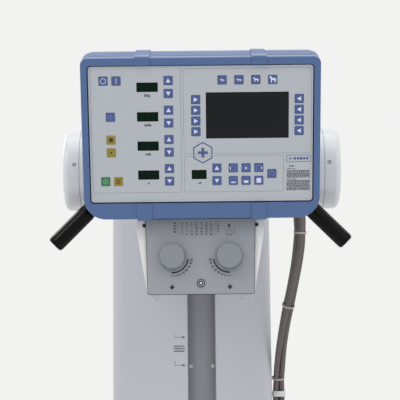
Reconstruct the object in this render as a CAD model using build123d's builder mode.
from build123d import *
import os
from math import cos, pi, radians, sin, tan

# Floor column carrying an X-ray tube head with its control console, in millimetres.
# +X is the operator's right, +Y points from the operator to the column, +Z is up.
# The origin is the centre of the four floor anchors, at floor level.

# Floor plate
PLATE_WIDTH = 540
PLATE_DEPTH = 600
PLATE_THICKNESS = 12
ANCHOR_SPACING_X = 450
ANCHOR_SPACING_Y = 510
ANCHOR_HOLE_RADIUS = 7

# Steel mast inside the column cover
MAST_Y = 120
MAST_WIDTH = 110
MAST_DEPTH = 140
MAST_WALL = 5
MAST_TOP = 1750
MAST_FRONT = MAST_Y - MAST_DEPTH / 2
MAST_SCREW_X = 24
MAST_SCREW_Z = 1222
EAR_TOP = 1835
FOOT_SIZE = 172
FOOT_THICKNESS = 12
FOOT_BOLT_SPACING = 140
RAIL_REACH = 25
RAIL_THICKNESS = 10
RAIL_BOTTOM = 60
RAIL_TOP = 1735

# Column cover: two folded sheets and a cap
COVER_LEFT = -194.3
COVER_RIGHT = 152.5
COVER_FRONT = 30
COVER_BACK = 230
COVER_CORNER = 22
COVER_WALL = 2.5
COVER_TOP = 1850
CAP_THICKNESS = 12
SLOT_WIDTH = 60
SLOT_BOTTOM = 60
SLOT_TOP = 1790

# Pulley, ropes and counterweight
PULLEY_Y = 81
PULLEY_Z = 1800
ROPE_TURN_RADIUS = 40
ROPE_RADIUS = 2.5
ROPE_SPACING = 24
AXLE_RADIUS = 8
COUNTERWEIGHT_BOTTOM = 120
COUNTERWEIGHT_TOP = 620

# Carriage that runs on the mast
CARRIAGE_BOTTOM = 1442
CARRIAGE_TOP = 1744
CARRIAGE_FRONT = 36.5
CARRIAGE_PLATE = 9.5
CHEEK_INSIDE = 95
CHEEK_THICKNESS = 8
CHEEK_BACK = 165
ROLLER_RADIUS = 18
ROLLER_WIDTH = 14
ROLLER_X = 71
ROLLER_AXLE_RADIUS = 5
ROLLER_LOW_Z = 1477
ROLLER_HIGH_Z = 1709
RUNNING_FIT = 0.05

# Tube housing: a cylinder along X
TUBE_X = 4
TUBE_Y = -305
TUBE_Z = 1602
TUBE_RADIUS = 78
TUBE_WALL = 4
TUBE_HALF_LENGTH = 232.7
SEAM_X = 233
CAP_END_X = 267
CAP_SCREW_X = 241.5
RING_X = 92
RING_WIDTH = 24
RING_RADIUS = 86

# Support arm between the carriage and the head
ARM_FRONT_Y = -165
PIVOT_RADIUS = 22
GLAND_X = 62
BUSHING_RADIUS = 28
CRADLE_FACE_Y = -175.2
CRADLE_FLANGE_Y = -195
CRADLE_SADDLE_Y = -213

# Console, tilted so that its face looks down at the operator
CONSOLE_X = 3
CONSOLE_Y = -515
CONSOLE_Z = 1634
CONSOLE_TILT = 20
SHELL_WIDTH = 428
SHELL_TOP = 138
SHELL_BOTTOM = -156
SHELL_CORNER_TOP = 13
SHELL_CORNER_BOTTOM = 40
BEZEL_FRONT = -2
BEZEL_BACK = 24
SHELL_DEPTH = 96
SHELL_BACK_BOTTOM = -118
SHELL_WALL = 3
STRAP_X = 104
STRAP_WIDTH = 26
STRAP_PROUD = 2.5
PANEL_WIDTH = 401
PANEL_HEIGHT = 247
PANEL_CENTRE = -1
PANEL_FRONT = 2
PANEL_BACK = 5
BOARD_FRONT = 12.4
BOARD_BACK = 14
LCD_CENTRE = (83, 33)
LCD_WIDTH = 147
LCD_HEIGHT = 82
LED_WIDTH = 36.8
LED_HEIGHT = 15.6
LED_SMALL_WIDTH = 25.6
LED_X = -95.5
LED_ROWS = (85, 31.8, -21.3, -74.4)
LED_SMALL_CENTRE = (-4.3, -74.4)

# Handle bar with a grip at each end
BAR_Y = -370
BAR_Z = 1529
BAR_CORNER_X = 196.5
BAR_RADIUS = 8
BAR_DROP = 65.5
BAR_BEND = 30
GRIP_RADIUS = 16
GRIP_START = 14
GRIP_LENGTH = 98

# Collimator
BOX_HALF_WIDTH = 96.5
BOX_FRONT = -427.3
BOX_BACK = -182
BOX_BOTTOM = 1369
BOX_TOP = 1488
BOX_WALL = 3
FACE_TOP = 1490.4
FACE_BOTTOM = 1352.3
FACE_TOP_HALF = 100.7
FACE_BOTTOM_HALF = 97.2
FACE_Y = -430
FACE_THICKNESS = 2.5
KNOB_X = 52
KNOB_Z = 1420.5
KNOB_RADIUS = 25.2
KNOB_GRIP_RADIUS = 23.4
KNOB_BASE_Y = -432.5
KNOB_DEPTH = 22
KNOB_SHAFT_RADIUS = 4
BUTTON_Z = 1372
BUTTON_RADIUS = 4.4
LEAF_GAP = 25
LEAF_LENGTH = 46
LEAF_THICKNESS = 3
LEAF_SIDE_Z = 1400
LEAF_END_Z = 1394
SIDE_SCREW_X = 104
SIDE_SCREW_Z = 1479.5

# Cable bundle from the arm to the side of the column
BUNDLE_RADIUS = 13
CABLE_ROUTE = [
    (86, -92, 1648),
    (137, -92, 1648),
    (184, -95, 1620),
    (208, -100, 1571),
    (210.5, -104, 1512),
    (207, -84, 1457),
    (195, -48, 1388),
    (179.5, -6, 1315),
    (169.5, 40, 1243),
    (167, 66, 1190),
    (167, 75, 1128),
    (167, 75, 1066),
]
TIE_PLACES = (0.325, 0.566, 0.819)
CLIP_Z = 1160
CLIP_HEIGHT = 12

os.makedirs("parts", exist_ok=True)


def keep(piece, name):
    """Label a finished sub-part and write it as a STEP file of the same name."""
    piece.part.label = name
    export_step(piece.part, f"parts/{name}.step")


# ---------------------------------------------------------------- column

with BuildPart() as floor_plate:
    with BuildSketch():
        RectangleRounded(PLATE_WIDTH, PLATE_DEPTH, 20)
        with GridLocations(ANCHOR_SPACING_X, ANCHOR_SPACING_Y, 2, 2):
            Circle(ANCHOR_HOLE_RADIUS, mode=Mode.SUBTRACT)
        with Locations((0, MAST_Y)):
            with GridLocations(FOOT_BOLT_SPACING, FOOT_BOLT_SPACING, 2, 2):
                Circle(6.5, mode=Mode.SUBTRACT)
    extrude(amount=PLATE_THICKNESS)
    chamfer(floor_plate.faces().sort_by(Axis.Z)[-1].outer_wire().edges(), 2)
keep(floor_plate, "floor_plate")

# The mast is a welded tube on a foot, with a rail down each side, ears for the pulley axle and a
# rib that the rear cover is screwed to.
with BuildPart() as mast:
    with BuildSketch(Plane.XY.offset(PLATE_THICKNESS)):
        with Locations((0, MAST_Y)):
            Rectangle(FOOT_SIZE, FOOT_SIZE)
            with GridLocations(FOOT_BOLT_SPACING, FOOT_BOLT_SPACING, 2, 2):
                Circle(6.5, mode=Mode.SUBTRACT)
    extrude(amount=FOOT_THICKNESS)
    with BuildSketch(Plane.XY.offset(PLATE_THICKNESS + FOOT_THICKNESS)):
        with Locations((0, MAST_Y)):
            Rectangle(MAST_WIDTH, MAST_DEPTH)
            Rectangle(MAST_WIDTH - 2 * MAST_WALL, MAST_DEPTH - 2 * MAST_WALL, mode=Mode.SUBTRACT)
    extrude(amount=EAR_TOP - PLATE_THICKNESS - FOOT_THICKNESS)
    with BuildSketch(Plane.XY.offset(MAST_TOP)):
        with Locations((0, MAST_Y)):
            Rectangle(MAST_WIDTH - 2 * MAST_WALL, MAST_DEPTH + 20)
        with Locations((0, MAST_Y + 45)):
            Rectangle(MAST_WIDTH + 20, MAST_DEPTH / 2 + 20)
    extrude(amount=EAR_TOP - MAST_TOP, mode=Mode.SUBTRACT)
    with BuildSketch(Plane.XY.offset(RAIL_BOTTOM)):
        for side in (-1, 1):
            with Locations((side * (MAST_WIDTH / 2 + RAIL_REACH / 2 - 0.5), MAST_Y)):
                Rectangle(RAIL_REACH + 1, RAIL_THICKNESS)
    extrude(amount=RAIL_TOP - RAIL_BOTTOM)
    with BuildSketch(Plane.XY.offset(RAIL_BOTTOM)):
        with Locations((0, MAST_Y + MAST_DEPTH / 2 + 18.6)):
            Rectangle(20, 37.4)
    extrude(amount=MAST_TOP - 50 - RAIL_BOTTOM)
    with BuildSketch(Plane.YZ.offset(-MAST_WIDTH / 2)):
        with Locations((PULLEY_Y, PULLEY_Z)):
            Circle(AXLE_RADIUS)
    extrude(amount=MAST_WIDTH, mode=Mode.SUBTRACT)
keep(mast, "mast")

COVER_WIDTH = COVER_RIGHT - COVER_LEFT
COVER_DEPTH = COVER_BACK - COVER_FRONT
COVER_X = (COVER_RIGHT + COVER_LEFT) / 2
COVER_Y = (COVER_FRONT + COVER_BACK) / 2


def cover_section(height, half_centre):
    """Half of the cover's hollow section: half_centre is the Y of the kept half's middle."""
    with BuildSketch(Plane.XY.offset(height)) as section:
        with Locations((COVER_X, COVER_Y)):
            RectangleRounded(COVER_WIDTH, COVER_DEPTH, COVER_CORNER)
            RectangleRounded(
                COVER_WIDTH - 2 * COVER_WALL,
                COVER_DEPTH - 2 * COVER_WALL,
                COVER_CORNER - COVER_WALL,
                mode=Mode.SUBTRACT,
            )
        with Locations((COVER_X, half_centre)):
            Rectangle(COVER_WIDTH + 10, COVER_DEPTH / 2 - 0.1, mode=Mode.INTERSECT)
    return section.sketch


with BuildPart() as column_front_cover:
    extrude(
        cover_section(PLATE_THICKNESS, COVER_FRONT + COVER_DEPTH / 4 - 0.05),
        amount=COVER_TOP - PLATE_THICKNESS,
    )
    with BuildSketch(Plane.XZ.offset(-COVER_FRONT - 20)):
        with Locations((0, (SLOT_BOTTOM + SLOT_TOP) / 2)):
            Rectangle(SLOT_WIDTH, SLOT_TOP - SLOT_BOTTOM)
    extrude(amount=40, mode=Mode.SUBTRACT)
keep(column_front_cover, "column_front_cover")

with BuildPart() as column_rear_cover:
    extrude(
        cover_section(PLATE_THICKNESS, COVER_BACK - COVER_DEPTH / 4 + 0.05),
        amount=COVER_TOP - PLATE_THICKNESS,
    )
    # vent slots low on the back
    with BuildSketch(Plane.XZ.offset(-COVER_BACK)):
        with Locations((COVER_X - 100, 220)):
            with GridLocations(1, 14, 1, 8):
                SlotOverall(70, 5)
    extrude(amount=COVER_WALL * 2, mode=Mode.SUBTRACT)
keep(column_rear_cover, "column_rear_cover")

with BuildPart() as column_top_cap:
    with BuildSketch(Plane.XY.offset(COVER_TOP)):
        with Locations((COVER_X, COVER_Y)):
            RectangleRounded(COVER_WIDTH, COVER_DEPTH, COVER_CORNER)
    extrude(amount=CAP_THICKNESS)
    fillet(column_top_cap.faces().sort_by(Axis.Z)[-1].edges(), 6)
    with BuildSketch(Plane.XY.offset(COVER_TOP - 12)):
        with Locations((COVER_X, COVER_Y)):
            RectangleRounded(COVER_WIDTH - 5.6, COVER_DEPTH - 5.6, COVER_CORNER - 2.8)
    extrude(amount=12)
    with BuildSketch(Plane.XY.offset(COVER_TOP - 12)):
        with Locations((COVER_X, COVER_Y)):
            RectangleRounded(COVER_WIDTH - 11, COVER_DEPTH - 11, COVER_CORNER - 5.5)
    extrude(amount=20, mode=Mode.SUBTRACT)
keep(column_top_cap, "column_top_cap")

# Screws of the column: hex bolts in the mast's foot, two pan heads on the mast's front behind the
# slot, and the three cover screws down the back.
with BuildPart() as column_screws:
    with BuildSketch(Plane.XY.offset(1)):
        with Locations((0, MAST_Y)):
            with GridLocations(FOOT_BOLT_SPACING, FOOT_BOLT_SPACING, 2, 2):
                Circle(6)
    extrude(amount=PLATE_THICKNESS + FOOT_THICKNESS - 1)
    with BuildSketch(Plane.XY.offset(PLATE_THICKNESS + FOOT_THICKNESS)):
        with Locations((0, MAST_Y)):
            with GridLocations(FOOT_BOLT_SPACING, FOOT_BOLT_SPACING, 2, 2):
                RegularPolygon(10.5, 6)
    extrude(amount=8)
    with BuildSketch(Plane.XZ.offset(-COVER_BACK)):
        with Locations((0, 200), (0, 950), (0, 1690)):
            Circle(5)
    extrude(amount=-2)
    with BuildSketch(Plane.XZ.offset(-MAST_FRONT)):
        with Locations((-MAST_SCREW_X, MAST_SCREW_Z), (MAST_SCREW_X, MAST_SCREW_Z)):
            Circle(4.5)
    extrude(amount=2.4)
keep(column_screws, "column_screws")

with BuildPart() as rope_pulley:
    with BuildSketch(Plane(origin=(0, PULLEY_Y, PULLEY_Z), x_dir=(1, 0, 0), z_dir=(0, -1, 0))):
        with Locations((0, 22)):
            Rectangle(40, 44)
        with Locations((0, (AXLE_RADIUS + RUNNING_FIT) / 2)):
            Rectangle(40, AXLE_RADIUS + RUNNING_FIT, mode=Mode.SUBTRACT)
        for side in (-1, 1):
            with Locations((side * ROPE_SPACING / 2, 42)):
                Rectangle(6.4, 9.8, mode=Mode.SUBTRACT)
    revolve(axis=Axis((0, PULLEY_Y, PULLEY_Z), (1, 0, 0)))
keep(rope_pulley, "rope_pulley")

with BuildPart() as pulley_axle:
    with BuildSketch(Plane.YZ.offset(-MAST_WIDTH / 2 - 5)):
        with Locations((PULLEY_Y, PULLEY_Z)):
            Circle(AXLE_RADIUS)
    extrude(amount=MAST_WIDTH + 10)
    for start in (-MAST_WIDTH / 2 - 5, MAST_WIDTH / 2):
        with BuildSketch(Plane.YZ.offset(start)):
            with Locations((PULLEY_Y, PULLEY_Z)):
                Circle(AXLE_RADIUS + 4)
        extrude(amount=5)
    # spacer sleeves keep the pulley in the middle of the axle
    for start in (-MAST_WIDTH / 2 + MAST_WALL, 20.5):
        with BuildSketch(Plane.YZ.offset(start)):
            with Locations((PULLEY_Y, PULLEY_Z)):
                Circle(AXLE_RADIUS + 3)
        extrude(amount=29.5)
keep(pulley_axle, "pulley_axle")

with BuildPart() as suspension_ropes:
    for rope_x in (-ROPE_SPACING / 2, ROPE_SPACING / 2):
        with BuildLine(Plane.YZ.offset(rope_x)) as rope_path:
            Line((PULLEY_Y - ROPE_TURN_RADIUS, CARRIAGE_TOP), (PULLEY_Y - ROPE_TURN_RADIUS, PULLEY_Z))
            ThreePointArc(
                (PULLEY_Y - ROPE_TURN_RADIUS, PULLEY_Z),
                (PULLEY_Y, PULLEY_Z + ROPE_TURN_RADIUS),
                (PULLEY_Y + ROPE_TURN_RADIUS, PULLEY_Z),
            )
            Line(
                (PULLEY_Y + ROPE_TURN_RADIUS, PULLEY_Z),
                (PULLEY_Y + ROPE_TURN_RADIUS, COUNTERWEIGHT_TOP),
            )
        with BuildSketch(Plane.XY.offset(CARRIAGE_TOP)) as rope_section:
            with Locations((rope_x, PULLEY_Y - ROPE_TURN_RADIUS)):
                Circle(ROPE_RADIUS)
        sweep(rope_section.sketch, path=rope_path.wires()[0])
keep(suspension_ropes, "suspension_ropes")

with BuildPart() as counterweight:
    with BuildSketch(Plane.XY.offset(COUNTERWEIGHT_BOTTOM)):
        with Locations((0, MAST_Y)):
            RectangleRounded(88, 116, 6)
    extrude(amount=COUNTERWEIGHT_TOP - COUNTERWEIGHT_BOTTOM)
    chamfer(counterweight.faces().sort_by(Axis.Z)[-1].edges(), 3)
keep(counterweight, "counterweight")

# ---------------------------------------------------------------- carriage and arm

ROLLER_HIGH_Y = MAST_Y + RAIL_THICKNESS / 2 + ROLLER_RADIUS + RUNNING_FIT
ROLLER_LOW_Y = MAST_Y - RAIL_THICKNESS / 2 - ROLLER_RADIUS - RUNNING_FIT
ROLLER_CENTRES = ((ROLLER_HIGH_Y, ROLLER_HIGH_Z), (ROLLER_LOW_Y, ROLLER_LOW_Z))
CARRIAGE_HEIGHT = CARRIAGE_TOP - CARRIAGE_BOTTOM

with BuildPart() as carriage_frame:
    with BuildSketch(Plane.XY.offset(CARRIAGE_BOTTOM)):
        with Locations((0, CARRIAGE_FRONT + CARRIAGE_PLATE / 2)):
            Rectangle(2 * (CHEEK_INSIDE + CHEEK_THICKNESS), CARRIAGE_PLATE)
        for side in (-1, 1):
            with Locations(
                (side * (CHEEK_INSIDE + CHEEK_THICKNESS / 2), (CARRIAGE_FRONT + CHEEK_BACK) / 2)
            ):
                Rectangle(CHEEK_THICKNESS, CHEEK_BACK - CARRIAGE_FRONT)
    extrude(amount=CARRIAGE_HEIGHT)
    with BuildSketch(Plane.YZ.offset(-CHEEK_INSIDE - CHEEK_THICKNESS)):
        with Locations(*ROLLER_CENTRES):
            Circle(ROLLER_AXLE_RADIUS)
        # one lightening window in both cheeks
        with Locations((112, (CARRIAGE_BOTTOM + CARRIAGE_TOP) / 2)):
            RectangleRounded(60, 110, 12)
    extrude(amount=2 * (CHEEK_INSIDE + CHEEK_THICKNESS), mode=Mode.SUBTRACT)
keep(carriage_frame, "carriage_frame")

for side, side_name in ((-1, "left"), (1, "right")):
    for (roller_y, roller_z), height_name in zip(ROLLER_CENTRES, ("upper", "lower")):
        with BuildPart() as roller:
            with BuildSketch(Plane.YZ.offset(side * ROLLER_X - ROLLER_WIDTH / 2)):
                with Locations((roller_y, roller_z)):
                    Circle(ROLLER_RADIUS)
                    Circle(ROLLER_AXLE_RADIUS + RUNNING_FIT, mode=Mode.SUBTRACT)
            extrude(amount=ROLLER_WIDTH)
        keep(roller, f"roller_{height_name}_{side_name}")

with BuildPart() as roller_axles:
    for side in (-1, 1):
        for inner, outer, radius in (
            (61, CHEEK_INSIDE + CHEEK_THICKNESS, ROLLER_AXLE_RADIUS),
            (60, 63.5, 7.5),
            (78.5, CHEEK_INSIDE, 8),
        ):
            with BuildSketch(Plane.YZ.offset(side * (inner + outer) / 2)):
                with Locations(*ROLLER_CENTRES):
                    Circle(radius)
            extrude(amount=(outer - inner) / 2, both=True)
keep(roller_axles, "roller_axles")

# The arm is a casting: a narrow neck through the slot, a body that grows round, and the bearing
# boss. A tilted boss on its right side carries the cable gland.
with BuildPart() as support_arm:
    with BuildSketch(Plane.XZ.offset(-CARRIAGE_FRONT)):
        with Locations((0, TUBE_Z)):
            Rectangle(50, 200)
    extrude(amount=CARRIAGE_FRONT + 6)
    with BuildSketch(Plane.XZ.offset(-22)):
        with Locations((0, TUBE_Z)):
            RectangleRounded(112, 196, 30)
    with BuildSketch(Plane.XZ.offset(60)):
        with Locations((0, TUBE_Z)):
            RectangleRounded(112, 150, 52)
    with BuildSketch(Plane.XZ.offset(145)):
        with Locations((0, TUBE_Z)):
            RectangleRounded(116, 116, 57.5)
    loft()
    with BuildSketch(Plane.XZ.offset(144)):
        with Locations((0, TUBE_Z)):
            Circle(58)
    extrude(amount=-ARM_FRONT_Y - 144)
    with BuildSketch(Plane.YZ.offset(30)):
        with Locations((CABLE_ROUTE[0][1], CABLE_ROUTE[0][2])):
            Circle(21)
    extrude(amount=GLAND_X - 30)
    with BuildSketch(Plane.XZ.offset(-ARM_FRONT_Y)):
        with Locations((0, TUBE_Z)):
            Circle(BUSHING_RADIUS)
    extrude(amount=-125, mode=Mode.SUBTRACT)
keep(support_arm, "support_arm")

with BuildPart() as pivot_bushing:
    with BuildSketch(Plane.XZ.offset(-ARM_FRONT_Y)):
        with Locations((0, TUBE_Z)):
            Circle(BUSHING_RADIUS)
            Circle(PIVOT_RADIUS + RUNNING_FIT, mode=Mode.SUBTRACT)
    extrude(amount=-124.5)
    with BuildSketch(Plane.XZ.offset(-ARM_FRONT_Y)):
        with Locations((0, TUBE_Z)):
            Circle(45)
            Circle(PIVOT_RADIUS + RUNNING_FIT, mode=Mode.SUBTRACT)
    extrude(amount=ARM_FRONT_Y - CRADLE_FACE_Y - 0.2)
keep(pivot_bushing, "pivot_bushing")

with BuildPart() as arm_cable_gland:
    with BuildSketch(Plane.YZ.offset(GLAND_X)):
        with Locations((CABLE_ROUTE[0][1], CABLE_ROUTE[0][2])):
            Circle(19)
    with BuildSketch(Plane.YZ.offset(CABLE_ROUTE[0][0])):
        with Locations((CABLE_ROUTE[0][1], CABLE_ROUTE[0][2])):
            Circle(14.5)
    loft()
keep(arm_cable_gland, "arm_cable_gland")

# ---------------------------------------------------------------- tube head

TUBE_AXIS = Axis((TUBE_X, TUBE_Y, TUBE_Z), (1, 0, 0))
TUBE_PROFILE = Plane(origin=(TUBE_X, TUBE_Y, TUBE_Z), x_dir=(1, 0, 0), z_dir=(0, -1, 0))


def tube_cylinder(start, length, outer, inner=0):
    """A disc or ring about the tube axis: start is its place along X, from the tube's middle."""
    with BuildSketch(Plane.YZ.offset(TUBE_X + start)) as section:
        with Locations((TUBE_Y, TUBE_Z)):
            Circle(outer)
            if inner:
                Circle(inner, mode=Mode.SUBTRACT)
    return extrude(section.sketch, amount=length, mode=Mode.PRIVATE)


TUBE_INSIDE = TUBE_RADIUS - TUBE_WALL
PORT_BOTTOM = 1500.3

with BuildPart() as tube_housing:
    add(tube_cylinder(-TUBE_HALF_LENGTH, 2 * TUBE_HALF_LENGTH, TUBE_RADIUS))
    with BuildSketch(Plane.XY.offset(PORT_BOTTOM)):
        with Locations((0, TUBE_Y)):
            Circle(50)
    extrude(amount=TUBE_Z - PORT_BOTTOM - 30)
    add(tube_cylinder(-TUBE_HALF_LENGTH, 2 * TUBE_HALF_LENGTH, TUBE_INSIDE), mode=Mode.SUBTRACT)
    with BuildSketch(Plane.XY.offset(PORT_BOTTOM)):
        with Locations((0, TUBE_Y)):
            Circle(36)
    extrude(amount=60, mode=Mode.SUBTRACT)
    # spigots that the end caps slide over, drilled for the cap screws
    for side in (-1, 1):
        add(tube_cylinder(side * 227.35 - 5.35, 10.7, TUBE_INSIDE + 0.5, 70))
        add(tube_cylinder(side * 234.5 - 11.5, 23, 73.8, 70))
        with Locations((TUBE_X + side * CAP_SCREW_X, TUBE_Y, TUBE_Z)):
            Cylinder(2, 200, rotation=(90, 0, 0), mode=Mode.SUBTRACT)
            Cylinder(2, 200, mode=Mode.SUBTRACT)
keep(tube_housing, "tube_housing")

for side, side_name in ((-1, "left"), (1, "right")):
    with BuildPart() as end_cap:
        with BuildSketch(TUBE_PROFILE) as cap_profile:
            with BuildLine():
                Polyline(
                    (side * SEAM_X, 74.2),
                    (side * SEAM_X, TUBE_RADIUS),
                    (side * (CAP_END_X - 2.8), TUBE_RADIUS),
                    (side * (CAP_END_X - 1), 40),
                    (side * CAP_END_X, 12),
                    (side * CAP_END_X, 0),
                    (side * (CAP_END_X - 4), 0),
                    (side * (CAP_END_X - 4), 12),
                    (side * (CAP_END_X - 5), 40),
                    (side * (CAP_END_X - 6.6), 74.2),
                    close=True,
                )
            make_face()
            rim = cap_profile.vertices().group_by(Axis.Y)
            fillet(rim[-1].sort_by(Axis.X)[0 if side < 0 else -1], 12)
            fillet(rim[-2].sort_by(Axis.X)[0 if side < 0 else -1], 8.2)
        revolve(axis=TUBE_AXIS)
        with Locations((TUBE_X + side * CAP_SCREW_X, TUBE_Y, TUBE_Z)):
            Cylinder(2.2, 200, rotation=(90, 0, 0), mode=Mode.SUBTRACT)
            Cylinder(2.2, 200, mode=Mode.SUBTRACT)
        for turn in (0, 90, 180, 270):
            seat = Plane(TUBE_PROFILE.location * Rotation(turn, 0, 0)).offset(75.8)
            with BuildSketch(seat):
                with Locations((side * CAP_SCREW_X, 0)):
                    Circle(3.7)
            extrude(amount=5, mode=Mode.SUBTRACT)
    keep(end_cap, f"end_cap_{side_name}")

# Screws of the head: four in each end cap's rim and one in each collimator side cover
with BuildPart() as head_screws:
    for side in (-1, 1):
        for turn in (0, 90, 180, 270):
            for height, radius, length in ((71, 1.9, 5), (75.9, 3.5, 1.6)):
                seat = Plane(TUBE_PROFILE.location * Rotation(turn, 0, 0)).offset(height)
                with BuildSketch(seat):
                    with Locations((side * CAP_SCREW_X, 0)):
                        Circle(radius)
                extrude(amount=length)
    with BuildSketch(Plane.XZ.offset(-FACE_Y - 6)):
        with Locations((-SIDE_SCREW_X, SIDE_SCREW_Z), (SIDE_SCREW_X, SIDE_SCREW_Z)):
            Circle(3.2)
    extrude(amount=2.4)
keep(head_screws, "head_screws")

with BuildPart() as tube_cradle:
    with BuildSketch(Plane.XZ.offset(-CRADLE_FACE_Y)):
        with Locations((0, TUBE_Z)):
            Circle(68)
    extrude(amount=CRADLE_FACE_Y - CRADLE_FLANGE_Y)
    with BuildSketch(Plane.XZ.offset(-CRADLE_FACE_Y)):
        with Locations((0, TUBE_Z)):
            Circle(PIVOT_RADIUS)
    extrude(amount=-118)
    with BuildSketch(Plane.XZ.offset(-CRADLE_FLANGE_Y)):
        with Locations((0, TUBE_Z)):
            RectangleRounded(224, 116, 12)
    extrude(amount=CRADLE_FLANGE_Y - CRADLE_SADDLE_Y)
    with BuildSketch(Plane.XZ.offset(-CRADLE_SADDLE_Y)):
        with Locations((0, TUBE_Z)):
            Rectangle(152, 100)
    extrude(amount=37)
    add(tube_cylinder(-130, 260, TUBE_RADIUS + 0.1), mode=Mode.SUBTRACT)
keep(tube_cradle, "tube_cradle")

# Two clamp rings hold the tube housing to the cradle and the handle bar below it
with BuildPart() as clamp_rings:
    for side in (-1, 1):
        with BuildSketch(Plane.YZ.offset(side * RING_X)):
            with Locations((TUBE_Y, TUBE_Z)):
                Circle(RING_RADIUS)
            with Locations((CRADLE_SADDLE_Y - 8, TUBE_Z)):
                Rectangle(16, 76)
            with Locations((BAR_Y, BAR_Z)):
                Circle(16)
            with Locations((TUBE_Y, TUBE_Z)):
                Circle(TUBE_RADIUS, mode=Mode.SUBTRACT)
            with Locations((BAR_Y, BAR_Z)):
                Circle(BAR_RADIUS, mode=Mode.SUBTRACT)
        extrude(amount=RING_WIDTH / 2, both=True)
keep(clamp_rings, "clamp_rings")

# X-ray insert: glass envelope, cathode, rotating anode on its fixed stem, and the stator
with BuildPart() as insert_envelope:
    with BuildSketch(TUBE_PROFILE):
        with BuildLine():
            Polyline(
                (-130, 0),
                (-130, 28),
                (-62, 28),
                (-38, 52),
                (32, 52),
                (56, 28),
                (132, 28),
                (132, 0),
                (129.5, 0),
                (129.5, 25.5),
                (55, 25.5),
                (31, 49.5),
                (-37, 49.5),
                (-61, 25.5),
                (-127.5, 25.5),
                (-127.5, 0),
                close=True,
            )
        make_face()
    revolve(axis=TUBE_AXIS)
keep(insert_envelope, "insert_envelope")

with BuildPart() as cathode_cup:
    add(tube_cylinder(-127.5, 87.5, 12))
    with Locations((TUBE_X - 38, TUBE_Y, TUBE_Z - 12)):
        Box(8, 20, 52)
    with Locations((TUBE_X - 25, TUBE_Y, TUBE_Z - 33)):
        Box(22, 22, 18)
keep(cathode_cup, "cathode_cup")

with BuildPart() as anode_rotor:
    with BuildSketch(TUBE_PROFILE):
        with BuildLine():
            Polyline(
                (0, 0),
                (0, 28),
                (4, 41),
                (14, 41),
                (14, 8),
                (40, 8),
                (40, 21),
                (112, 21),
                (112, 6 + RUNNING_FIT),
                (46, 6 + RUNNING_FIT),
                (46, 0),
                close=True,
            )
        make_face()
    revolve(axis=TUBE_AXIS)
keep(anode_rotor, "anode_rotor")

with BuildPart() as anode_support:
    add(tube_cylinder(46.5, 83, 6))
    add(tube_cylinder(118, 11.5, 14))
keep(anode_support, "anode_support")

with BuildPart() as stator_coil:
    add(tube_cylinder(62, 46, 48, 28.1))
    add(tube_cylinder(107, 7, 73.9, 28.1))
keep(stator_coil, "stator_coil")

# ---------------------------------------------------------------- console

FORWARD = (0, -cos(radians(CONSOLE_TILT)), -sin(radians(CONSOLE_TILT)))
BACKWARD = (0, cos(radians(CONSOLE_TILT)), sin(radians(CONSOLE_TILT)))
CONSOLE_FACE = Plane(origin=(CONSOLE_X, CONSOLE_Y, CONSOLE_Z), x_dir=(1, 0, 0), z_dir=FORWARD)


def console_depth(depth):
    """Plane parallel to the console's face, depth millimetres behind it."""
    return CONSOLE_FACE.offset(-depth)


def console_side(x):
    """Plane across the console, x from its middle: its first axis is depth, its second is height."""
    return Plane(origin=(CONSOLE_X + x, CONSOLE_Y, CONSOLE_Z), x_dir=BACKWARD, z_dir=(1, 0, 0))


def shell_outline(
    depth, inset=0, width=SHELL_WIDTH, top=SHELL_TOP, bottom=SHELL_BOTTOM, corner=SHELL_CORNER_TOP
):
    """The console's rounded outline at a depth, drawn in by inset on every side."""
    height = top - bottom
    with BuildSketch(console_depth(depth)) as outline:
        with Locations((0, (top + bottom) / 2)):
            Rectangle(width - 2 * inset, height - 2 * inset)
        rows = outline.vertices().group_by(Axis.Y)
        fillet(rows[-1], corner - inset)
        rows = outline.vertices().group_by(Axis.Y)
        fillet(rows[0], SHELL_CORNER_BOTTOM - inset)
    return outline.sketch


with BuildPart() as console_bezel:
    extrude(shell_outline(BEZEL_BACK), amount=BEZEL_BACK - BEZEL_FRONT)
    fillet(console_bezel.faces().sort_by(Axis(CONSOLE_FACE.origin, FORWARD))[-1].edges(), 2.5)
    for strap_x in (-STRAP_X, STRAP_X):
        for edge, inner_edge in ((SHELL_TOP, 120), (SHELL_BOTTOM, -124)):
            outward = 1 if edge > 0 else -1
            with BuildSketch(console_side(strap_x)) as strap_profile:
                with BuildLine():
                    Polyline(
                        (BEZEL_BACK, edge - outward * 8),
                        (BEZEL_BACK, edge + outward * STRAP_PROUD),
                        (BEZEL_FRONT - STRAP_PROUD, edge + outward * STRAP_PROUD),
                        (BEZEL_FRONT - STRAP_PROUD, inner_edge),
                        (BEZEL_FRONT + 2, inner_edge),
                        (BEZEL_FRONT + 2, edge - outward * 8),
                        close=True,
                    )
                make_face()
                corners = strap_profile.vertices().sort_by(Axis.X)
                front = corners[0:2].sort_by(Axis.Y)
                fillet(front[-1 if outward > 0 else 0], 3.5)
            extrude(amount=STRAP_WIDTH / 2, both=True)
    with BuildSketch(console_depth(BEZEL_BACK)):
        with Locations((0, PANEL_CENTRE)):
            RectangleRounded(PANEL_WIDTH - 10, PANEL_HEIGHT - 10, 4)
    extrude(amount=40, mode=Mode.SUBTRACT)
    with BuildSketch(console_depth(PANEL_BACK + 0.2)):
        with Locations((0, PANEL_CENTRE)):
            RectangleRounded(PANEL_WIDTH + 3.6, PANEL_HEIGHT + 3.6, 6.8)
    extrude(amount=20, mode=Mode.SUBTRACT)
keep(console_bezel, "console_bezel")

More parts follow.
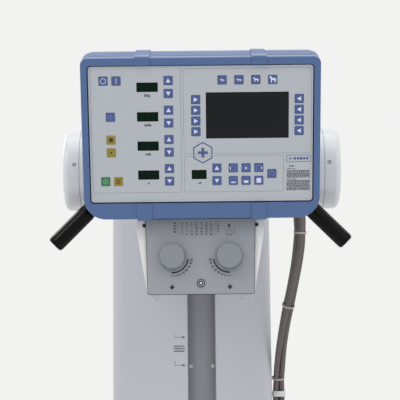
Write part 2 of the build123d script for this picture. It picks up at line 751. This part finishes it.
# The rear shell swells a little behind the bezel, slopes up underneath, and has a bevelled back
BULGE_DEPTH = 60
BULGE = {"width": 433, "top": 141.5, "bottom": -140, "corner": 18}
BACK = {"width": 430, "top": 140, "bottom": SHELL_BACK_BOTTOM - 4, "corner": 20}
with BuildPart() as console_rear_shell:
    levels = [
        shell_outline(BEZEL_BACK + 0.2),
        shell_outline(BULGE_DEPTH, **BULGE),
        shell_outline(SHELL_DEPTH - 5, **BACK),
        shell_outline(SHELL_DEPTH, inset=4, **BACK),
    ]
    for near, far in zip(levels, levels[1:]):
        loft([near, far], ruled=True)
    for strap_x in (-STRAP_X, STRAP_X):
        with BuildSketch(console_side(strap_x)):
            with BuildLine():
                Polyline(
                    (BEZEL_BACK + 0.2, SHELL_TOP - 5),
                    (BEZEL_BACK + 0.2, SHELL_TOP + STRAP_PROUD),
                    (BULGE_DEPTH, BULGE["top"] + STRAP_PROUD),
                    (SHELL_DEPTH - 5, BACK["top"] + STRAP_PROUD),
                    (SHELL_DEPTH - 3, BACK["top"]),
                    (SHELL_DEPTH - 3, BACK["top"] - 6),
                    close=True,
                )
            make_face()
        extrude(amount=STRAP_WIDTH / 2, both=True)
    hollow = [
        shell_outline(BEZEL_BACK, inset=SHELL_WALL),
        shell_outline(BULGE_DEPTH, inset=SHELL_WALL, **BULGE),
        shell_outline(SHELL_DEPTH - SHELL_WALL, inset=SHELL_WALL + 3, **BACK),
    ]
    for near, far in zip(hollow, hollow[1:]):
        loft([near, far], ruled=True, mode=Mode.SUBTRACT)
keep(console_rear_shell, "console_rear_shell")

LED_CENTRES = [(LED_X, row) for row in LED_ROWS]

with BuildPart() as console_overlay:
    with BuildSketch(console_depth(PANEL_BACK)):
        with Locations((0, PANEL_CENTRE)):
            RectangleRounded(PANEL_WIDTH, PANEL_HEIGHT, 5)
        with Locations(LED_SMALL_CENTRE):
            Rectangle(LED_SMALL_WIDTH, LED_HEIGHT, mode=Mode.SUBTRACT)
        with Locations(*LED_CENTRES):
            Rectangle(LED_WIDTH, LED_HEIGHT, mode=Mode.SUBTRACT)
        with Locations(LCD_CENTRE):
            Rectangle(LCD_WIDTH, LCD_HEIGHT, mode=Mode.SUBTRACT)
    extrude(amount=PANEL_BACK - PANEL_FRONT)
keep(console_overlay, "console_overlay")

DISPLAY_FRONT = PANEL_FRONT + 0.6
with BuildPart() as lcd_module:
    with BuildSketch(console_depth(BOARD_FRONT)):
        with Locations(LCD_CENTRE):
            RectangleRounded(LCD_WIDTH + 10, LCD_HEIGHT + 10, 2)
    extrude(amount=BOARD_FRONT - PANEL_BACK - 0.2)
    with BuildSketch(console_depth(BOARD_FRONT)):
        with Locations(LCD_CENTRE):
            Rectangle(LCD_WIDTH - 0.4, LCD_HEIGHT - 0.4)
    extrude(amount=BOARD_FRONT - DISPLAY_FRONT)
keep(lcd_module, "lcd_module")

with BuildPart() as led_displays:
    for depth, margin in ((PANEL_BACK + 0.2, 4), (DISPLAY_FRONT, -0.4)):
        with BuildSketch(console_depth(BOARD_FRONT)):
            with Locations(*LED_CENTRES):
                Rectangle(LED_WIDTH + margin, LED_HEIGHT + margin)
            with Locations(LED_SMALL_CENTRE):
                Rectangle(LED_SMALL_WIDTH + margin, LED_HEIGHT + margin)
        extrude(amount=BOARD_FRONT - depth)
keep(led_displays, "led_displays")

with BuildPart() as console_board:
    with BuildSketch(console_depth(BOARD_BACK)):
        with Locations((0, PANEL_CENTRE)):
            RectangleRounded(PANEL_WIDTH - 22, PANEL_HEIGHT - 22, 3)
    extrude(amount=BOARD_BACK - BOARD_FRONT)
    # chips and a connector row on the back
    with BuildSketch(console_depth(BOARD_BACK + 6)):
        with Locations((0, 20)):
            with GridLocations(90, 60, 3, 2):
                Rectangle(28, 16)
        with Locations((0, -90)):
            Rectangle(160, 12)
    extrude(amount=6.5)
keep(console_board, "console_board")

# The bracket is a plate on the back of the console with two ribs that sit on the clamp rings
with BuildPart() as console_bracket:
    with BuildSketch(console_depth(SHELL_DEPTH + 0.1)):
        with Locations((0, -35)):
            RectangleRounded(230, 146, 10)
    extrude(amount=-4)
    for side in (-1, 1):
        with BuildSketch(console_side(side * RING_X)):
            with BuildLine():
                Polyline(
                    (SHELL_DEPTH + 3, -106),
                    (SHELL_DEPTH + 3, 20),
                    (SHELL_DEPTH + 10, 20),
                    (SHELL_DEPTH + 60, -40),
                    (SHELL_DEPTH + 60, -106),
                    close=True,
                )
            make_face()
        extrude(amount=RING_WIDTH / 2, both=True)
    add(tube_cylinder(-130, 260, RING_RADIUS + 0.05), mode=Mode.SUBTRACT)
keep(console_bracket, "console_bracket")

# ---------------------------------------------------------------- handles

with BuildPart() as handle_bar:
    with BuildLine(Plane.XZ.offset(-BAR_Y)) as bar_path:
        FilletPolyline(
            (-BAR_CORNER_X - BAR_DROP, BAR_Z - BAR_DROP),
            (-BAR_CORNER_X, BAR_Z),
            (BAR_CORNER_X, BAR_Z),
            (BAR_CORNER_X + BAR_DROP, BAR_Z - BAR_DROP),
            radius=BAR_BEND,
        )
    bar_end = (-BAR_CORNER_X - BAR_DROP, BAR_Y, BAR_Z - BAR_DROP)
    with BuildSketch(Plane(origin=bar_end, z_dir=(1, 0, 1))):
        Circle(BAR_RADIUS)
    sweep()
keep(handle_bar, "handle_bar")

BAR_END_DISTANCE = BAR_DROP / cos(radians(45))
for side, side_name in ((-1, "left"), (1, "right")):
    grip_plane = Plane(origin=(side * BAR_CORNER_X, BAR_Y, BAR_Z), z_dir=(side, 0, -1))
    with BuildPart() as grip:
        with BuildSketch(grip_plane.offset(GRIP_START)):
            Circle(GRIP_RADIUS)
        extrude(amount=GRIP_LENGTH)
        ends = grip.edges().filter_by(GeomType.CIRCLE)
        fillet(ends.sort_by(Axis((0, 0, 0), (side, 0, -1)))[-1], 4)
        with BuildSketch(grip_plane.offset(GRIP_START)):
            Circle(BAR_RADIUS)
        extrude(amount=BAR_END_DISTANCE - GRIP_START, mode=Mode.SUBTRACT)
    keep(grip, f"grip_{side_name}")

# ---------------------------------------------------------------- collimator

with BuildPart() as collimator_flange:
    with BuildSketch(Plane.XY.offset(BOX_TOP)):
        with Locations((0, TUBE_Y)):
            Circle(65)
            Circle(38, mode=Mode.SUBTRACT)
    extrude(amount=PORT_BOTTOM - BOX_TOP)
keep(collimator_flange, "collimator_flange")

with BuildPart() as collimator_housing:
    with BuildSketch(Plane.XY.offset(BOX_BOTTOM)):
        with Locations((0, (BOX_FRONT + BOX_BACK) / 2)):
            Rectangle(2 * BOX_HALF_WIDTH, BOX_BACK - BOX_FRONT)
    extrude(amount=BOX_TOP - BOX_BOTTOM)
    with BuildSketch(Plane.XY.offset(BOX_BOTTOM + BOX_WALL)):
        with Locations((0, (BOX_FRONT + BOX_BACK - BOX_WALL) / 2 - 1)):
            Rectangle(2 * (BOX_HALF_WIDTH - BOX_WALL), BOX_BACK - BOX_FRONT - BOX_WALL + 2)
    extrude(amount=BOX_TOP - BOX_BOTTOM - 2 * BOX_WALL, mode=Mode.SUBTRACT)
    with BuildSketch(Plane.XY.offset(BOX_BOTTOM)):
        with Locations((0, TUBE_Y)):
            Rectangle(150, 150)
        with Locations((0, BOX_FRONT + 7)):
            Rectangle(20, 14)
    extrude(amount=BOX_WALL, mode=Mode.SUBTRACT)
    with BuildSketch(Plane.XY.offset(BOX_TOP)):
        with Locations((0, TUBE_Y)):
            Circle(38)
    extrude(amount=-BOX_WALL, mode=Mode.SUBTRACT)
keep(collimator_housing, "collimator_housing")

with BuildPart() as collimator_front_plate:
    with BuildSketch(Plane.XZ.offset(-FACE_Y - FACE_THICKNESS)) as face_outline:
        with BuildLine():
            Polyline(
                (-FACE_TOP_HALF, FACE_TOP),
                (FACE_TOP_HALF, FACE_TOP),
                (FACE_BOTTOM_HALF, FACE_BOTTOM),
                (-FACE_BOTTOM_HALF, FACE_BOTTOM),
                close=True,
            )
        make_face()
        fillet(face_outline.vertices(), 2.5)
        with Locations((-KNOB_X, KNOB_Z), (KNOB_X, KNOB_Z)):
            Circle(KNOB_SHAFT_RADIUS + RUNNING_FIT, mode=Mode.SUBTRACT)
    extrude(amount=FACE_THICKNESS)
    # raised ring around the lamp button
    with BuildSketch(Plane.XZ.offset(-FACE_Y)):
        with Locations((0, BUTTON_Z)):
            Circle(7.4)
    extrude(amount=2)
    with BuildSketch(Plane.XZ.offset(-FACE_Y - FACE_THICKNESS)):
        with Locations((0, BUTTON_Z)):
            Circle(BUTTON_RADIUS + 0.08)
    extrude(amount=10, mode=Mode.SUBTRACT)
keep(collimator_front_plate, "collimator_front_plate")

# Each side cover is a hollow wedge that narrows downwards, with a boss for its screw
for side, side_name in ((-1, "left"), (1, "right")):
    with BuildPart() as side_cover:
        with BuildSketch(Plane.XZ.offset(-BOX_BACK + 8)) as wedge:
            with BuildLine():
                Polyline(
                    (side * (BOX_HALF_WIDTH + 0.2), 1490),
                    (side * 117.5, 1490),
                    (side * 117.5, 1467),
                    (side * 99, FACE_BOTTOM + 4),
                    (side * (BOX_HALF_WIDTH + 0.2), FACE_BOTTOM + 4),
                    close=True,
                )
            make_face()
        extrude(amount=234)
        upright = side_cover.edges().filter_by(Axis.Y).sort_by(Axis.X)
        outer_edges = upright[0:2] if side < 0 else upright[-2:]
        fillet(outer_edges, 5)
        with BuildSketch(Plane.XZ.offset(-BOX_BACK + 11)):
            with BuildLine():
                Polyline(
                    (side * BOX_HALF_WIDTH, 1487),
                    (side * 114.5, 1487),
                    (side * 114.5, 1468),
                    (side * 100.5, 1386),
                    (side * BOX_HALF_WIDTH, 1386),
                    close=True,
                )
            make_face()
        extrude(amount=228, mode=Mode.SUBTRACT)
        with BuildSketch(Plane.XZ.offset(-FACE_Y - 14)):
            with Locations((side * SIDE_SCREW_X, SIDE_SCREW_Z)):
                Circle(7)
        extrude(amount=8)
    keep(side_cover, f"side_cover_{side_name}")

for side, side_name in ((-1, "left"), (1, "right")):
    with BuildPart() as knob:
        with BuildSketch(Plane.XZ.offset(-KNOB_BASE_Y)):
            with Locations((side * KNOB_X, KNOB_Z)):
                Circle(KNOB_RADIUS)
        extrude(amount=4)
        fillet(knob.edges().sort_by(Axis.Y)[0], 1.2)
        with BuildSketch(Plane.XZ.offset(-KNOB_BASE_Y + 4)):
            with Locations((side * KNOB_X, KNOB_Z)):
                Circle(KNOB_GRIP_RADIUS)
                with PolarLocations(KNOB_GRIP_RADIUS + 0.6, 24):
                    Circle(1.7, mode=Mode.SUBTRACT)
        extrude(amount=KNOB_DEPTH - 6)
        with BuildSketch(Plane.XZ.offset(-KNOB_BASE_Y + KNOB_DEPTH - 2)):
            with Locations((side * KNOB_X, KNOB_Z)):
                Circle(KNOB_GRIP_RADIUS - 0.6)
        extrude(amount=2)
        fillet(knob.edges().sort_by(Axis.Y)[0], 1.5)
        with BuildSketch(Plane.XZ.offset(-KNOB_BASE_Y)):
            with Locations((side * KNOB_X, KNOB_Z)):
                Circle(KNOB_SHAFT_RADIUS)
        extrude(amount=-36)
    keep(knob, f"knob_{side_name}")

with BuildPart() as lamp_button:
    with BuildSketch(Plane.XZ.offset(-FACE_Y - 12)):
        with Locations((0, BUTTON_Z)):
            Circle(BUTTON_RADIUS)
    extrude(amount=16.5)
    fillet(lamp_button.edges().sort_by(Axis.Y)[0], 0.8)
    # collar behind the plate that keeps the button in
    with BuildSketch(Plane.XZ.offset(-FACE_Y - FACE_THICKNESS - 3.2)):
        with Locations((0, BUTTON_Z)):
            Circle(6.2)
    extrude(amount=3)
keep(lamp_button, "lamp_button")

with BuildPart() as lamp_module:
    with BuildSketch(Plane.XZ.offset(-BOX_BACK + BOX_WALL)):
        with Locations((0, 1452)):
            Rectangle(50, 44)
    extrude(amount=14)
    with BuildSketch(Plane.XZ.offset(-BOX_BACK + BOX_WALL + 14)):
        with Locations((0, 1452)):
            Circle(12)
    extrude(amount=24)
keep(lamp_module, "lamp_module")

with BuildPart() as field_mirror:
    with BuildSketch(Plane(origin=(0, TUBE_Y, 1452), x_dir=(1, 0, 0), z_dir=(0, 1, -1))):
        Rectangle(2 * (BOX_HALF_WIDTH - BOX_WALL) - 0.2, 70)
    extrude(amount=2)
keep(field_mirror, "field_mirror")

for side, side_name in ((-1, "left"), (1, "right")):
    with BuildPart() as leaf:
        with BuildSketch(Plane.XY.offset(LEAF_SIDE_Z)):
            with Locations((side * (LEAF_GAP + LEAF_LENGTH / 2), TUBE_Y)):
                Rectangle(LEAF_LENGTH, 120)
        extrude(amount=LEAF_THICKNESS)
    keep(leaf, f"shutter_leaf_{side_name}")

for side, side_name in ((-1, "front"), (1, "rear")):
    with BuildPart() as leaf:
        with BuildSketch(Plane.XY.offset(LEAF_END_Z)):
            with Locations((0, TUBE_Y + side * (LEAF_GAP + LEAF_LENGTH / 2))):
                Rectangle(110, LEAF_LENGTH)
        extrude(amount=LEAF_THICKNESS)
    keep(leaf, f"shutter_leaf_{side_name}")

with BuildPart() as exit_window:
    with BuildSketch(Plane.XY.offset(BOX_BOTTOM + BOX_WALL)):
        with Locations((0, TUBE_Y)):
            Rectangle(162, 162)
    extrude(amount=3)
keep(exit_window, "exit_window")

with BuildPart() as accessory_rails:
    for side in (-1, 1):
        with BuildSketch(Plane.XZ.offset(-BOX_BACK + 8)):
            with BuildLine():
                Polyline(
                    (side * 81, BOX_BOTTOM - 16),
                    (side * 93, BOX_BOTTOM - 16),
                    (side * 93, BOX_BOTTOM),
                    (side * 90, BOX_BOTTOM),
                    (side * 90, BOX_BOTTOM - 13),
                    (side * 81, BOX_BOTTOM - 13),
                    close=True,
                )
            make_face()
        extrude(amount=230)
keep(accessory_rails, "accessory_rails")

# ---------------------------------------------------------------- cable bundle

ROUTE_POINTS = [Vector(*point) for point in CABLE_ROUTE]
ROUTE_RADII = []
for before, corner, after in zip(ROUTE_POINTS, ROUTE_POINTS[1:], ROUTE_POINTS[2:]):
    run_in = corner - before
    run_out = after - corner
    half_turn = radians(run_in.get_angle(run_out) / 2)
    ROUTE_RADII.append(0.45 * min(run_in.length, run_out.length) / tan(half_turn))
print("cable radii:", [round(radius) for radius in ROUTE_RADII])

with BuildPart() as cable_bundle:
    with BuildLine() as cable_path:
        FilletPolyline(*ROUTE_POINTS, radius=ROUTE_RADII)
    with BuildSketch(Plane(origin=ROUTE_POINTS[0], z_dir=ROUTE_POINTS[1] - ROUTE_POINTS[0])):
        Circle(BUNDLE_RADIUS)
    sweep()
keep(cable_bundle, "cable_bundle")

CABLE_WIRE = cable_path.wires()[0]
SECTION_AREA = pi * BUNDLE_RADIUS**2
print("cable length:", round(CABLE_WIRE.length, 1))
print("cable volume over its section:", round(cable_bundle.part.volume / SECTION_AREA, 1))

with BuildPart() as cable_ties:
    for place in TIE_PLACES:
        tie_plane = Plane(origin=CABLE_WIRE.position_at(place), z_dir=CABLE_WIRE.tangent_at(place))
        with BuildSketch(tie_plane):
            Circle(BUNDLE_RADIUS + 1.6)
            Circle(BUNDLE_RADIUS + 0.3, mode=Mode.SUBTRACT)
        extrude(amount=2.2, both=True)
keep(cable_ties, "cable_ties")

CLIP_Y = 70.4
with BuildPart() as cable_clip:
    with BuildSketch(Plane.XY.offset(CLIP_Z - CLIP_HEIGHT / 2)):
        with Locations((CABLE_ROUTE[-1][0], CLIP_Y)):
            Circle(BUNDLE_RADIUS + 3.4)
        with Locations((COVER_RIGHT + 1.2, CLIP_Y + 18)):
            Rectangle(2.4, 34)
        with Locations((CABLE_ROUTE[-1][0], CLIP_Y)):
            Circle(BUNDLE_RADIUS + 1.2, mode=Mode.SUBTRACT)
        with Locations((COVER_RIGHT - 20, CLIP_Y)):
            Rectangle(40, 80, mode=Mode.SUBTRACT)
    extrude(amount=CLIP_HEIGHT)
    with BuildSketch(Plane.YZ.offset(COVER_RIGHT + 2.4)):
        with Locations((CLIP_Y + 28, CLIP_Z)):
            Circle(4)
    extrude(amount=2)
keep(cable_clip, "cable_clip")

ENTRY_TOP = 1040
with BuildPart() as cable_entry_box:
    with BuildSketch(Plane.XY.offset(ENTRY_TOP - 86)):
        with Locations((COVER_RIGHT + 20, CABLE_ROUTE[-1][1])):
            Rectangle(40, 64)
    extrude(amount=86)
    fillet(cable_entry_box.edges().sort_by(Axis.X)[-4:], 4)
    with BuildSketch(Plane.XY.offset(ENTRY_TOP)):
        with Locations((CABLE_ROUTE[-1][0], CABLE_ROUTE[-1][1])):
            Circle(14.4)
    with BuildSketch(Plane.XY.offset(CABLE_ROUTE[-1][2])):
        with Locations((CABLE_ROUTE[-1][0], CABLE_ROUTE[-1][1])):
            Circle(14)
    loft()
keep(cable_entry_box, "cable_entry_box")
